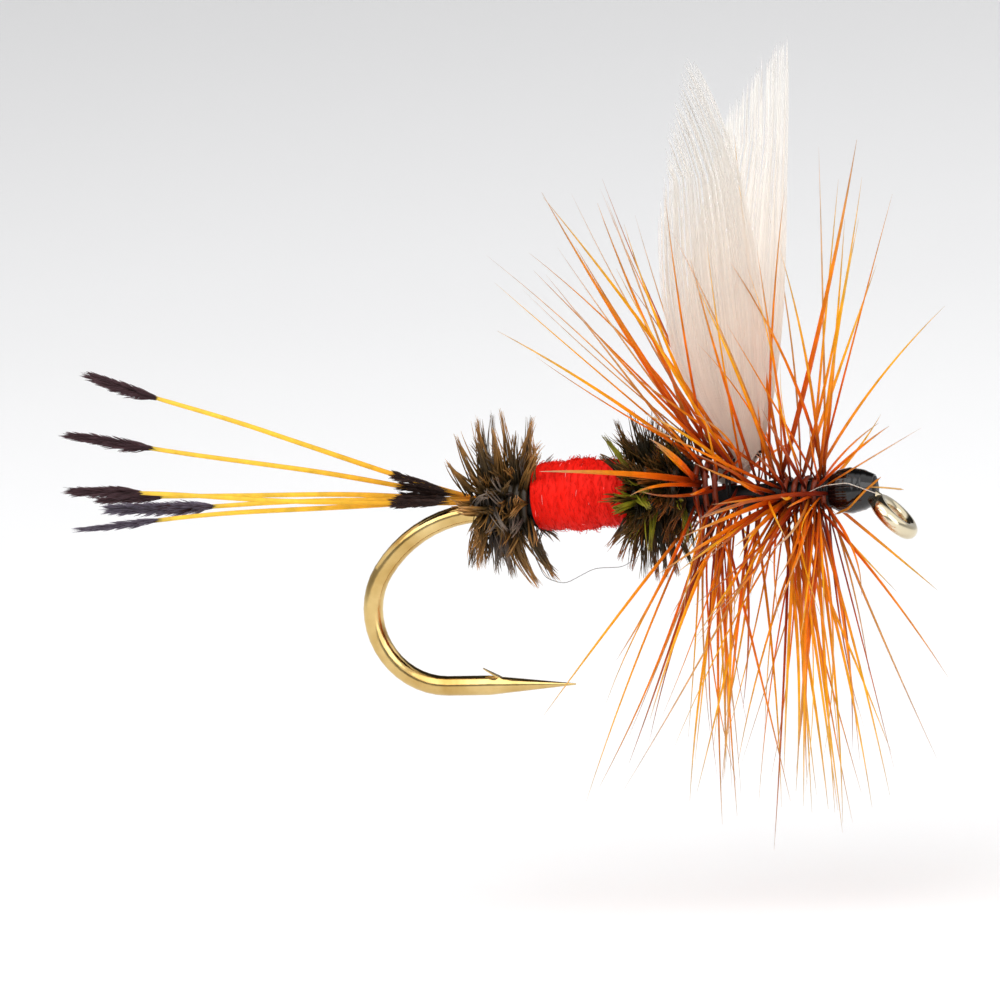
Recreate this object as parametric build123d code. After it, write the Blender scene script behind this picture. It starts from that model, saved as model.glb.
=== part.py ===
from build123d import *
import os
from math import asin, cos, degrees, hypot, radians, sin

# Dry fly with upright divided wings, tied on a down-eye hook.
# Millimetres and degrees. The origin is the centre of the hook eye. +X runs forward along
# the shank to the eye and +Z runs up to the wings, so the hook lies in the XZ plane and the
# left wing is on the +Y side. Angles round the shank are counted from the top.

# ---- Fits ----
gap = 0.01                  # clearance between two lashed pieces
station_gap = 0.05          # bare length between two windings
seam_turn = 12              # turn of a round wire's seam away from the centre plane
past = 20                   # length that carries a cutting solid past the whole fly

# ---- Hook ----
wire_d = 0.55               # wire of the shank, bend and spear
shank_len = 10.4            # straight wire, from the neck to the bend
upper_bend_r = 3.77
upper_bend_turn = 52.8
lower_bend_r = 2.06
lower_bend_turn = 125.5
spear_len = 3.7             # from the end of the bend to the point
point_taper = 2.5           # ground length of the point
point_tip_d = 0.04
barb_to_point = 2.1         # from the barb's root to the point
barb_len = 0.55
barb_rise = 0.24            # height of the barb's tip over the wire
barb_width = 0.22
barb_thick = 0.07
barb_point_width = 0.4      # width at the barb's tip, of the width at its root
barb_point_thick = 0.3
eye_wire_d = 0.42
eye_ring_r = 0.56           # centre line of the eye's ring
eye_bore_r = 0.38           # burnished land inside the ring
eye_droop = 48              # turn of the eye below the shank's line
neck_bend_r = 1.06
neck_taper = 0.9            # wire thins to the eye over this length

# ---- Threads and body ----
thread_d = 0.07
thread_base_wall = 0.04     # flattened first layer of thread
tail_binding_turns = 4
underwrap_below = 0.06      # padding under the shank
underwrap_above = 0.34      # padding over the shank
herl_quill_d = 0.2
herl_strands = 2
rear_herl_len = 1.65
front_herl_len = 1.55
flue_per_turn = 9.4
flue_len = 1.35
flue_width = 0.08
flue_thick = 0.04
flue_tip_share = 0.3        # size at the tip, of the size at the root
flue_len_wave = 0.12        # barbules differ in length by this share
flue_lean_open = 24         # lean of the flue away from the floss
flue_lean_floss = 5         # lean of the flue over the floss
flue_lean_hackle = 50       # lean of the front flue where the hackle is wound against it
floss_lift = 0.13           # floss lies thicker over the shank than under it
floss_end_build = 0.2       # thickness of floss at the ends of the band
floss_mid_build = 0.36
floss_swell_at = 0.42       # place of the thickest floss, from the rear

# ---- Tail: (reach behind the tie-in, rise over the shank, spread to the side) ----
tail_tips = [
    (11.5, 1.4, -1.1),
    (11.5, 0.3, -0.7),
    (10.9, 4.5, -0.3),
    (11.0, 0.65, 0.2),
    (12.1, 2.75, 0.5),
    (11.6, 0.8, 1.2),
]
tail_fibre_d = 0.11
tail_fibre_sides = 6
tail_bar_d = 0.145          # dark fuzzy bar near the tie-in
tail_bar_start = 0.8
tail_bar_len = 1.75
tail_bar_ramp = 0.5         # length over which the bar thickens, and over which it ends
tail_bar_step = 0.08
tail_brush_d = 0.32         # dark fuzzy tip
tail_brush_len = 1.9
tail_brush_full_at = 0.4    # share of the brush's length where it is full, and where it thins
tail_brush_thins_at = 0.7
tail_brush_thinned = 0.8    # thickness at the second of those, of the full thickness
tail_tip_d = 0.03
tail_rise_power = 1.1       # over 1, the fibres curve up gently

# ---- Wings ----
wing_height = 11.3          # from the root to the tip
wing_thick = 0.1
wing_bow_r = 22.0           # each wing bows outwards on this radius
wing_lean = 21.5            # mean lean of a wing away from upright
wing_root_y = 0.21          # wing's middle at its root, from the centre plane
wing_root_width = 0.55
wing_lead_x = 1.1           # leading edge, forward of the root's middle
wing_trail_x = 1.7          # trailing edge, behind the root's middle
wing_slant = 2.4            # the tip is cut back by this over its width
wing_lead_low = 0.26        # shares of the height where the leading edge is shaped
wing_lead_high = 0.6
wing_trail_low = 0.36       # shares of the height where the trailing edge is shaped
wing_trail_high = 0.58
wing_edge_draw = 0.8        # an edge keeps this share of its reach at the narrower places
wing_shoulder_share = 0.5   # reach of the slanted tip's rear end, of the trailing edge's
wing_tip_back = 0.08        # the tip lies behind the leading edge by this
wing_butt_r = 0.36          # both lashed roots together, round
wing_root_sink = 0.15       # depth of the blade's foot inside its lashed root
wing_root_rise = 0.4        # height of the blade's straight foot
wing_binding_turns = 3
wing_cross_bend = 0.35      # share of the way down where a crossed turn meets the turns in front

# ---- Hackles ----
hackle_quill_d = 0.16
rear_hackle_len = 1.05
front_hackle_len = 1.45
hackle_pitch = 0.27
barbs_per_turn = 18.62
barb_root_width = 0.13
barb_root_thick = 0.07
barb_tip_share = 0.2        # width at the tip, of the width at the root
barb_bow = 0.16             # barbs bow forwards at the middle
rear_barb_len = 8.7
front_barb_len = 9.1
barb_len_wave = 0.35        # barbs differ in length by this
rear_hackle_lean = (-48, -10)     # at the rear turn and at the front turn, minus is backwards
front_hackle_lean = (-7, 13)
rear_lean_by_wing = -30
front_lean_by_wing = 8
lean_over_point = -30
wing_sector = 28            # half angle, round the top, where barbs stay clear of the wings
point_sector = 9            # half angle, round the bottom, where they stay clear of the point
lean_wave = 3               # barbs differ in lean by this

# ---- Unevenness: radians from one barb or barbule to the next ----
wave_step = 2.4             # in length
lean_step = 1.7             # in lean

# ---- Head ----
head_len = 1.23
head_over_neck = 0.74       # length of the head in front of the shank's straight part
head_r = 0.6
head_rear_r = 0.42
head_front_r = 0.36
head_swell_at = 0.45        # place of the thickest thread, from the rear
cement_thick = 0.045

# ---- Places worked out from the sizes above ----
wire_r = wire_d / 2
eye_wire_r = eye_wire_d / 2
eye_direction = Vector(cos(radians(eye_droop)), 0, -sin(radians(eye_droop)))
eye_normal = Vector(sin(radians(eye_droop)), 0, cos(radians(eye_droop)))
eye_plane = Plane(origin=(0, 0, 0), x_dir=eye_direction, z_dir=eye_normal)
neck_x = -(eye_ring_r * cos(radians(eye_droop)) + neck_bend_r * sin(radians(eye_droop)))
shank_z = eye_ring_r * sin(radians(eye_droop)) + neck_bend_r * (1 - cos(radians(eye_droop)))
bend_x = neck_x - shank_len

thread_step = thread_d + gap
head_front_x = neck_x + head_over_neck
head_rear_x = head_front_x - head_len
front_hackle_x = head_rear_x - station_gap - front_hackle_len
dam_x = front_hackle_x - station_gap - wing_binding_turns * thread_step
wing_front_x = dam_x - 2 * station_gap
wing_rear_x = wing_front_x - wing_root_width
wing_mid_x = (wing_front_x + wing_rear_x) / 2
wing_coil_x = wing_rear_x - station_gap - wing_binding_turns * thread_step
rear_hackle_x = wing_coil_x - station_gap - rear_hackle_len
front_herl_x = rear_hackle_x - station_gap - front_herl_len
butt_rear_x = front_herl_x - station_gap
floss_front_x = butt_rear_x - station_gap
tail_coil_front_x = bend_x + tail_binding_turns * thread_step
rear_herl_front_x = bend_x + rear_herl_len
floss_rear_x = rear_herl_front_x + station_gap

# A round winding is (lift of its centre over the shank's centre, free radius inside it).
thread_base_r = wire_r + gap + thread_base_wall
fibre_r = tail_fibre_d / 2
fibre_lay_r = thread_base_r + gap + fibre_r
fibre_step = 2 * degrees(asin((fibre_r + gap / 2) / fibre_lay_r))
fibre_edge = radians(fibre_step * (len(tail_tips) - 1) / 2)
lap_lift = (fibre_lay_r + fibre_r - thread_base_r) / 2
lap_reach = hypot(fibre_lay_r * sin(fibre_edge), fibre_lay_r * cos(fibre_edge) - lap_lift) + fibre_r
lap = (lap_lift, max(lap_reach, thread_base_r + lap_lift) + gap)
underwrap = (lap[0] + (underwrap_above - underwrap_below) / 2,
             lap[1] + (underwrap_above + underwrap_below) / 2)
body_core = (underwrap[0], underwrap[1] + gap)
butt_z = thread_base_r + gap + wing_butt_r
butt_top = butt_z + wing_butt_r
wing_core = ((butt_top - thread_base_r) / 2, (butt_top + thread_base_r) / 2 + gap)
shank_core = (0, thread_base_r + gap)


def shank_plane(x, lift=0.0):
    """Plane across the shank, facing forward, with its own x to +Y and its y to +Z."""
    return Plane(origin=(x, 0, shank_z + lift), x_dir=(0, 1, 0), z_dir=(1, 0, 0))


def round_section(plane, radius):
    """Circle on a plane, with its seam turned off the centre plane."""
    return plane * Rot(0, 0, seam_turn) * Circle(radius)


def rod(rear_x, front_x, radius, lift=0.0, front_radius=None):
    """Round bar or cone along the shank."""
    rear = round_section(shank_plane(rear_x, lift), radius)
    if front_radius is None:
        return extrude(rear, front_x - rear_x)
    return loft([rear, round_section(shank_plane(front_x, lift), front_radius)])


def flat_sided(rings):
    """Solid through a row of similar, parallel polygons; every side is flat."""
    faces = [Face(Wire.make_polygon(rings[0])), Face(Wire.make_polygon(rings[-1]))]
    for near, far in zip(rings, rings[1:]):
        for here in range(len(near)):
            after = (here + 1) % len(near)
            faces.append(Face(Wire.make_polygon([near[here], near[after], far[after], far[here]])))
    return Solid(Shell(faces))


def blade_like(centres, widths, thicks, across, over):
    """Straight tapered strip: a rectangle carried through the centres."""
    rings = []
    for centre, width, thick in zip(centres, widths, thicks):
        side, up = across * (width / 2), over * (thick / 2)
        rings.append([centre + side + up, centre - side + up, centre - side - up, centre + side - up])
    return flat_sided(rings)


# ---- Hook ----
def eye_and_neck(extra=0.0):
    """Ring, neck and tapered end of the shank, with the wire made thicker by extra."""
    ring = eye_plane * Rot(0, 0, seam_turn) * Torus(eye_ring_r, eye_wire_r + extra)
    neck_line = Plane.XZ * JernArc((neck_x, shank_z), (1, 0), neck_bend_r, -eye_droop)
    neck = sweep(round_section(shank_plane(neck_x), eye_wire_r + extra), path=neck_line)
    taper = rod(neck_x - neck_taper, neck_x, wire_r + extra, front_radius=eye_wire_r + extra)
    return ring + neck + taper


def make_hook():
    upper = JernArc((bend_x, shank_z), (-1, 0), upper_bend_r, upper_bend_turn)
    lower = JernArc(upper @ 1, upper % 1, lower_bend_r, lower_bend_turn)
    spear = Line(lower @ 1, lower @ 1 + (lower % 1) * (spear_len - point_taper))
    shank = Line((neck_x - neck_taper, shank_z), (bend_x, shank_z))
    line = Plane.XZ * Curve([shank, upper, lower, spear])
    start = Plane(origin=(neck_x - neck_taper, 0, shank_z), x_dir=(0, 1, 0), z_dir=(-1, 0, 0))
    wire = sweep(round_section(start, wire_r), path=line)
    forward = Vector((lower % 1).X, 0, (lower % 1).Y)
    up = Vector(-forward.Z, 0, forward.X)
    ground = Vector((spear @ 1).X, 0, (spear @ 1).Y)
    tip = ground + forward * point_taper
    point = loft([round_section(Plane(origin=ground, x_dir=up, z_dir=forward), wire_r),
                  round_section(Plane(origin=tip, x_dir=up, z_dir=forward), point_tip_d / 2)])
    taper_share = (point_taper - barb_to_point) / point_taper
    root = ground + forward * (point_taper - barb_to_point)
    skin = wire_r + (point_tip_d / 2 - wire_r) * taper_share
    cut = blade_like([root + up * (skin - barb_thick), root + up * (skin + barb_rise) - forward * barb_len],
                     [barb_width, barb_width * barb_point_width],
                     [barb_thick, barb_thick * barb_point_thick], Vector(0, 1, 0), up)
    bore = eye_plane * Rot(0, 0, seam_turn) * Cylinder(eye_bore_r, eye_wire_d)
    return eye_and_neck() + wire + point + cut - bore


# ---- Threads, quills and what stands on them ----
class Winding:
    """A round strand wound on a core, from its rear end to its front end."""

    def __init__(self, core, rear_x, front_x, strand_d, pitch, start_turn=0.0):
        lift, free_r = core
        self.axis_z = shank_z + lift
        self.radius = free_r + strand_d / 2
        self.strand_d = strand_d
        self.turns = (front_x - rear_x - strand_d) / pitch
        line = Helix(pitch, front_x - rear_x - strand_d, self.radius,
                     center=(rear_x + strand_d / 2, 0, self.axis_z), direction=(1, 0, 0))
        self.line = line.rotate(Axis((0, 0, self.axis_z), (1, 0, 0)), 360 * start_turn)

    def solid(self):
        start = Plane(origin=self.line @ 0, z_dir=self.line % 0)
        return sweep(start * RegularPolygon(self.strand_d / 2, 8), path=self.line, is_frenet=True)

    def place(self, turn):
        """Point on the strand's centre line, direction outwards, and the share of the way along."""
        share = turn / self.turns
        centre = self.line @ share
        outward = (centre - Vector(centre.X, 0, self.axis_z)).normalized()
        return centre, outward, share


def make_thread_base():
    rear_x, front_x = bend_x, neck_x - neck_taper
    return rod(rear_x, front_x, thread_base_r) - rod(rear_x, front_x, wire_r + gap)


def make_tail_binding():
    return Winding(lap, bend_x, tail_coil_front_x, thread_d, thread_step).solid()


def make_underwrap():
    rear_x = tail_coil_front_x + gap
    return rod(rear_x, floss_front_x, underwrap[1], underwrap[0]) - rod(rear_x, floss_front_x, lap[1], lap[0])


def herl_windings(core, rear_x, front_x):
    pitch = herl_strands * (herl_quill_d + gap)
    return [Winding(core, rear_x, front_x, herl_quill_d, pitch, strand / herl_strands)
            for strand in range(herl_strands)]


def make_flue(windings, rear_lean, front_lean):
    """Barbules standing on the quills."""
    flue = []
    for winding in windings:
        for count in range(int(winding.turns * flue_per_turn)):
            centre, outward, share = winding.place((count + 0.5) / flue_per_turn)
            lean = radians(rear_lean + (front_lean - rear_lean) * share)
            growth = outward * cos(lean) + Vector(sin(lean), 0, 0)
            across = Vector(1, 0, 0).cross(outward)
            root = centre + outward * (herl_quill_d / 2 + gap + flue_thick / 2)
            length = flue_len * (1 + flue_len_wave * sin(wave_step * count))
            flue.append(blade_like([root, root + growth * length],
                                   [flue_width, flue_width * flue_tip_share],
                                   [flue_thick, flue_thick * flue_tip_share],
                                   across, across.cross(growth)))
    return flue


def make_floss():
    """Barrel of floss between the herl butts, thicker above the shank than below it."""
    lift = underwrap[0] + floss_lift
    end_r = body_core[1] + floss_end_build
    mid_r = body_core[1] + floss_mid_build
    length = floss_front_x - floss_rear_x
    side = Spline((0, end_r), (length * floss_swell_at, mid_r), (length, end_r))
    outline = Line((0, 0), (0, end_r)) + side + Line((length, end_r), (length, 0)) + Line((length, 0), (0, 0))
    at_rear = Plane(origin=(floss_rear_x, 0, shank_z + lift), x_dir=(1, 0, 0), z_dir=(0, -1, 0))
    barrel = revolve(at_rear * make_face(outline), Axis((0, 0, shank_z + lift), (1, 0, 0)))
    return barrel - rod(floss_rear_x, floss_front_x, body_core[1], body_core[0])


def make_tail_fibre(place, reach, rise, spread):
    """One fibre: straight along the shank under the body, then out to its brush tip."""
    angle = radians(fibre_step * (place - (len(tail_tips) - 1) / 2))
    root = Vector(bend_x, fibre_lay_r * sin(angle), shank_z + fibre_lay_r * cos(angle))
    bar_end = tail_bar_start + tail_bar_len
    brush_start = reach - tail_brush_len
    stages = [(tail_bar_start, tail_fibre_d), (tail_bar_start + tail_bar_ramp, tail_bar_d),
              (bar_end, tail_bar_d), (bar_end + tail_bar_step, tail_fibre_d),
              (reach / 2, tail_fibre_d), (brush_start, tail_fibre_d),
              (brush_start + tail_brush_len * tail_brush_full_at, tail_brush_d),
              (brush_start + tail_brush_len * tail_brush_thins_at, tail_brush_d * tail_brush_thinned),
              (reach, tail_tip_d)]
    centres = [Vector(floss_front_x, root.Y, root.Z), root]
    sizes = [tail_fibre_d, tail_fibre_d]
    for back, size in stages:
        share = back / reach
        centres.append(Vector(bend_x - back, root.Y + (spread - root.Y) * share,
                              root.Z + (rise - root.Z + shank_z) * share ** tail_rise_power))
        sizes.append(size)
    rings = []
    for centre, size in zip(centres, sizes):
        rings.append([centre + Vector(0, cos(radians(turn)), sin(radians(turn))) * (size / 2)
                      for turn in range(0, 360, 360 // tail_fibre_sides)])
    return flat_sided(rings)


# ---- Wings ----
def make_wing(side):
    """Feather slip with its lashed root; side is 1 for the left wing and -1 for the right."""
    foot_z = shank_z + butt_top - wing_root_sink
    start_lean = radians(wing_lean) - wing_height / (2 * wing_bow_r)
    centre_y = wing_root_y + wing_bow_r * cos(start_lean)
    centre_z = foot_z - wing_bow_r * sin(start_lean)
    half_root = wing_root_width / 2
    tip = (wing_lead_x - wing_tip_back, wing_height)
    shoulder = (-wing_shoulder_share * wing_trail_x, wing_height - wing_slant)
    lead = Spline((half_root, wing_root_rise), (wing_lead_x * wing_edge_draw, wing_height * wing_lead_low),
                  (wing_lead_x, wing_height * wing_lead_high), tip)
    trail = Spline(shoulder, (-wing_trail_x * wing_edge_draw, wing_height * wing_trail_high),
                   (-wing_trail_x, wing_height * wing_trail_low), (-half_root, wing_root_rise))
    foot = Polyline((-half_root, wing_root_rise), (-half_root, 0), (half_root, 0),
                    (half_root, wing_root_rise))
    outline = lead + Line(tip, shoulder) + trail + foot
    side_view = Plane(origin=(wing_mid_x, 0, foot_z), x_dir=(1, 0, 0), z_dir=(0, -1, 0))
    slab = extrude(side_view * make_face(outline), -wing_height)
    bow_plane = Plane(origin=(wing_mid_x - past / 2, centre_y, centre_z), x_dir=(0, 1, 0), z_dir=(1, 0, 0))
    skin = Circle(wing_bow_r + wing_thick / 2) - Circle(wing_bow_r - wing_thick / 2)
    bow = extrude(bow_plane * skin, past)
    butt = rod(butt_rear_x, wing_front_x + station_gap, wing_butt_r, butt_z)
    half = Pos(wing_mid_x, gap / 2 + past / 2, shank_z) * Box(past, past, past)
    wing = (slab & bow) + (butt & half)
    return wing if side > 0 else mirror(wing, Plane.XZ)


def make_wing_binding():
    """Turns behind the wings and in front of them, and two crossed turns between them."""
    behind = Winding(wing_core, wing_coil_x, wing_coil_x + wing_binding_turns * thread_step,
                     thread_d, thread_step).solid()
    ahead = Winding(shank_core, dam_x, dam_x + wing_binding_turns * thread_step,
                    thread_d, thread_step).solid()
    crossed = []
    cross_y = wing_root_y - wing_thick / 2 - thread_d
    for level, side in ((0, 1), (1, -1)):
        over = shank_z + butt_top + gap + thread_d / 2 + level * thread_step
        down = shank_z + shank_core[1] + thread_d / 2 + level * thread_step
        rear = Vector(wing_coil_x + wing_binding_turns * thread_step + gap, side * cross_y, over)
        edge = Vector(wing_front_x + station_gap, -side * cross_y, over)
        front = Vector(dam_x - gap, -side * cross_y, over + (down - over) * wing_cross_bend)
        sizes = [thread_d, thread_d, thread_d]
        crossed.append(blade_like([rear, edge, front], sizes, sizes, Vector(0, 1, 0), Vector(0, 0, 1)))
    return [behind, ahead] + crossed


# ---- Hackles ----
def hackle_lean(angle, share, leans, by_wing):
    """Lean of a barb along the shank: barbs by the wings or over the point keep clear."""
    rear, front = leans
    if abs(angle) < wing_sector:
        rear = max(rear, by_wing) if by_wing > 0 else rear
        front = max(front, by_wing) if by_wing > 0 else min(front, by_wing)
    if abs(angle) > 180 - point_sector:
        rear = max(rear, lean_over_point)
    return rear + (front - rear) * share


def make_barbs(winding, length, leans, by_wing):
    barbs = []
    for count in range(int(winding.turns * barbs_per_turn)):
        centre, outward, share = winding.place((count + 0.5) / barbs_per_turn)
        angle = Vector(0, 0, 1).get_angle(outward)
        lean = radians(hackle_lean(angle, share, leans, by_wing) + lean_wave * sin(lean_step * count))
        growth = outward * cos(lean) + Vector(sin(lean), 0, 0)
        across = Vector(1, 0, 0).cross(outward)
        over = across.cross(growth)
        root = centre + outward * (hackle_quill_d / 2 + gap + barb_root_thick / 2)
        reach = length + barb_len_wave * sin(wave_step * count)
        middle = root + growth * (reach / 2) - over * barb_bow
        shares = [1, (1 + barb_tip_share) / 2, barb_tip_share]
        barbs.append(blade_like([root, middle, root + growth * reach],
                                [barb_root_width * part for part in shares],
                                [barb_root_thick * part for part in shares], across, over))
    return barbs


# ---- Head ----
def head_solid(skin=0.0):
    """Tapered head about the shank's line, grown outwards by skin."""
    rear = (0, head_rear_r + skin)
    swell = (head_len * head_swell_at, head_r + skin)
    front = (head_len, head_front_r + skin)
    outline = (Line((0, 0), rear) + Spline(rear, swell, front) + Line(front, (head_len, 0))
               + Line((head_len, 0), (0, 0)))
    at_rear = Plane(origin=(head_rear_x, 0, shank_z), x_dir=(1, 0, 0), z_dir=(0, -1, 0))
    return revolve(at_rear * make_face(outline), Axis((0, 0, shank_z), (1, 0, 0)))


def make_head_thread():
    return head_solid() - eye_and_neck(gap)


def make_head_cement():
    return head_solid(gap + cement_thick) - head_solid(gap) - eye_and_neck(gap)


# ---- The whole fly ----
rear_herl = herl_windings(body_core, bend_x, rear_herl_front_x)
front_herl = herl_windings(wing_core, front_herl_x, front_herl_x + front_herl_len)
rear_hackle = Winding(wing_core, rear_hackle_x, rear_hackle_x + rear_hackle_len,
                      hackle_quill_d, hackle_pitch)
front_hackle = Winding(shank_core, front_hackle_x, front_hackle_x + front_hackle_len,
                       hackle_quill_d, hackle_pitch)

nodes = {
    "hook": [make_hook()],
    "thread_base": [make_thread_base()],
    "tail_binding_thread": [make_tail_binding()],
    "body_underwrap": [make_underwrap()],
    "floss_body": [make_floss()],
    "rear_herl_flue": make_flue(rear_herl, -flue_lean_open, flue_lean_floss),
    "front_herl_flue": make_flue(front_herl, -flue_lean_floss, -flue_lean_hackle),
    "left_wing": [make_wing(1)],
    "right_wing": [make_wing(-1)],
    "wing_binding_thread": make_wing_binding(),
    "rear_hackle_quill": [rear_hackle.solid()],
    "rear_hackle_barbs": make_barbs(rear_hackle, rear_barb_len, rear_hackle_lean, rear_lean_by_wing),
    "front_hackle_quill": [front_hackle.solid()],
    "front_hackle_barbs": make_barbs(front_hackle, front_barb_len, front_hackle_lean, front_lean_by_wing),
    "head_thread": [make_head_thread()],
    "head_cement": [make_head_cement()],
}
for number, tip in enumerate(tail_tips):
    nodes[f"tail_fibre_{number + 1}"] = [make_tail_fibre(number, *tip)]
for number, (rear_strand, front_strand) in enumerate(zip(rear_herl, front_herl)):
    nodes[f"rear_herl_strand_{number + 1}"] = [rear_strand.solid()]
    nodes[f"front_herl_strand_{number + 1}"] = [front_strand.solid()]

os.makedirs("parts", exist_ok=True)
for name, pieces in nodes.items():
    solids = [solid for piece in pieces for solid in piece.solids()]
    export_step(Compound(children=solids) if len(solids) > 1 else solids[0], f"parts/{name}.step")
    print(name, len(solids), round(sum(solid.volume for solid in solids), 4))
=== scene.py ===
from math import cos, pi, radians, sin

import bmesh
import bpy
import numpy as np
from mathutils import Matrix, Vector


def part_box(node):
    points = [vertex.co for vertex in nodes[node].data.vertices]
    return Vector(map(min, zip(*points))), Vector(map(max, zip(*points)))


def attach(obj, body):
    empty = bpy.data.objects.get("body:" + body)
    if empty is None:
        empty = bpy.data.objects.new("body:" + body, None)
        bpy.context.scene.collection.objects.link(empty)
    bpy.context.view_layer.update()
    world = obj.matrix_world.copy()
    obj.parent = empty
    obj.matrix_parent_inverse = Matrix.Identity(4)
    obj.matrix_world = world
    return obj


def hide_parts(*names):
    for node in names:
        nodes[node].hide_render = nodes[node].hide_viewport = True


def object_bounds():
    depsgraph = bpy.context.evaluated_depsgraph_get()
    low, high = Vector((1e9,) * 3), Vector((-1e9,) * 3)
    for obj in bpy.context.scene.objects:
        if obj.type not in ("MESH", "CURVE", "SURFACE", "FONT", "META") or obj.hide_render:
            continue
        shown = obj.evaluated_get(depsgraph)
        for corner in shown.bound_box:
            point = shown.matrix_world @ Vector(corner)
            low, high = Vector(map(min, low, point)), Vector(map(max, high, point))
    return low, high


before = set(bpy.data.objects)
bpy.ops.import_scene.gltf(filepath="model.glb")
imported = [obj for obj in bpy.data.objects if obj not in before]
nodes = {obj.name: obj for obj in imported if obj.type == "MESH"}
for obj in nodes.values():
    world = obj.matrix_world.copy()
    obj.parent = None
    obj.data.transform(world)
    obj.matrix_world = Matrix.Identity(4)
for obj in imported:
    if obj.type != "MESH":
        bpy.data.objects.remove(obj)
cad_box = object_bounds()

# Dry fly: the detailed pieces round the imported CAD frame. Blender works in metres, and the
# functions here in millimetres: +X forward to the hook eye, +Z up to the wings, +Y to the left.
MM = 0.001
X = np.array([1.0, 0.0, 0.0])
rng = np.random.default_rng(12)

# Sizes in mm, and counts
herl_quill_w = 0.2
hackle_quill_w = 0.16
hackle_pitch = 0.27         # from one turn of the hackle quill to the next
sunk = 0.05                 # how deep a barb starts below the outside of its quill
shank_root_r = 0.3          # where a barb between the two windings starts, off the axis
stalk_steps = 90            # points along a tail fibre
hair_count = 2600           # hairs on the floss
wing_barbs = 110
wing_steps = 40             # points along the upright part of a wing barb
butt_steps = 5              # points along its lashed part
barb_steps = 14             # points along a hackle barb
floor_columns = 96


# ---- Places read from the frame ----
def box_mm(node):
    low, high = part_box(node)
    return np.array(low) / MM, np.array(high) / MM


def corners_mm(node):
    return np.array([vert.co for vert in nodes[node].data.vertices]) / MM


def edge_points_mm(node, count=12):
    """Points along every edge of a node, so that a large flat face has some too."""
    mesh = nodes[node].data
    corners = corners_mm(node)
    ends = np.array([edge.vertices[:] for edge in mesh.edges])
    share = np.linspace(0, 1, count)[:, None, None]
    return (corners[ends[:, 0]] * (1 - share) + corners[ends[:, 1]] * share).reshape(-1, 3)


def winding(node):
    """Rear and front stations, height of the axis and outer radius of a winding."""
    low, high = box_mm(node)
    return low[0], high[0], (low[2] + high[2]) / 2, (high[1] - low[1]) / 2


def ring_centres(node):
    """Centre line of a CAD fibre whose corners lie in rings across the X axis, front first."""
    corners = corners_mm(node)
    stations = np.unique(np.round(corners[:, 0], 3))[::-1]
    return np.array([corners[np.abs(corners[:, 0] - station) < 0.002].mean(0) for station in stations])


# ---- Colours ----
def linear(colour):
    """Linear light values of an 8-bit display colour."""
    share = np.array(colour, float) / 255
    return np.where(share <= 0.04045, share / 12.92, ((share + 0.055) / 1.055) ** 2.4)


def shade_along(stops, share):
    """Colour at each share of a length; stops are (share, display colour)."""
    places = [place for place, _ in stops]
    colours = np.array([linear(colour) for _, colour in stops])
    return np.stack([np.interp(share, places, colours[:, channel]) for channel in range(3)], axis=-1)


# ---- Mesh building ----
def unit(vectors):
    return vectors / np.maximum(np.linalg.norm(vectors, axis=-1, keepdims=True), 1e-12)


def ring_faces(rows, columns):
    """Faces that join rows of corners, each row a ring, and close the first and last ring."""
    faces = []
    for row in range(rows - 1):
        for here in range(columns):
            after = (here + 1) % columns
            faces.append((row * columns + here, row * columns + after,
                          (row + 1) * columns + after, (row + 1) * columns + here))
    faces.append(tuple(range(columns))[::-1])
    faces.append(tuple(range((rows - 1) * columns, rows * columns)))
    return faces


class Pile:
    """Corners, faces and colours of many small shapes that become one mesh."""

    def __init__(self):
        self.corners, self.faces, self.tints, self.count = [], [], [], 0

    def add(self, corners, faces, tints):
        self.corners.append(corners)
        self.tints.append(tints)
        self.faces.extend([tuple(index + self.count for index in face) for face in faces])
        self.count += len(corners)

    def strand(self, path, width, thick, across, tint, sides):
        """Closed strand along path; its section is an oval, wide along across."""
        steps = len(path)
        tangent = unit(np.gradient(path, axis=0))
        over = unit(np.cross(np.broadcast_to(across, path.shape), tangent))
        side = unit(np.cross(tangent, over))
        turn = np.arange(sides) * 2 * pi / sides
        width = np.broadcast_to(width, steps)[:, None, None] / 2
        thick = np.broadcast_to(thick, steps)[:, None, None] / 2
        rings = (path[:, None] + side[:, None] * np.cos(turn)[None, :, None] * width
                 + over[:, None] * np.sin(turn)[None, :, None] * thick)
        tint = np.broadcast_to(tint, (steps, 3))
        self.add(rings.reshape(-1, 3), ring_faces(steps, sides), np.repeat(tint, sides, axis=0))

    def barrel(self, corners, tints):
        """Skin over rows of corners, each row a ring, with a flat end on the first and last."""
        rows, columns = corners.shape[:2]
        self.add(corners.reshape(-1, 3), ring_faces(rows, columns), tints.reshape(-1, 3))

    def piece(self, name, material, replaced=()):
        mesh = bpy.data.meshes.new(name)
        corners = np.concatenate(self.corners) * MM
        mesh.from_pydata(corners.tolist(), [], self.faces)
        layer = mesh.color_attributes.new(name="tint", type="FLOAT_COLOR", domain="POINT")
        values = np.ones((self.count, 4))
        values[:, :3] = np.concatenate(self.tints)
        layer.data.foreach_set("color", values.ravel())
        mesh.polygons.foreach_set("use_smooth", [True] * len(mesh.polygons))
        mesh.materials.append(material)
        obj = bpy.data.objects.new(name, mesh)
        bpy.context.scene.collection.objects.link(obj)
        skin = bmesh.new()
        skin.from_mesh(mesh)
        bmesh.ops.recalc_face_normals(skin, faces=skin.faces)
        skin.to_mesh(mesh)
        skin.free()
        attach(obj, "root")
        if replaced:
            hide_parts(*replaced)
        return obj


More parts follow.
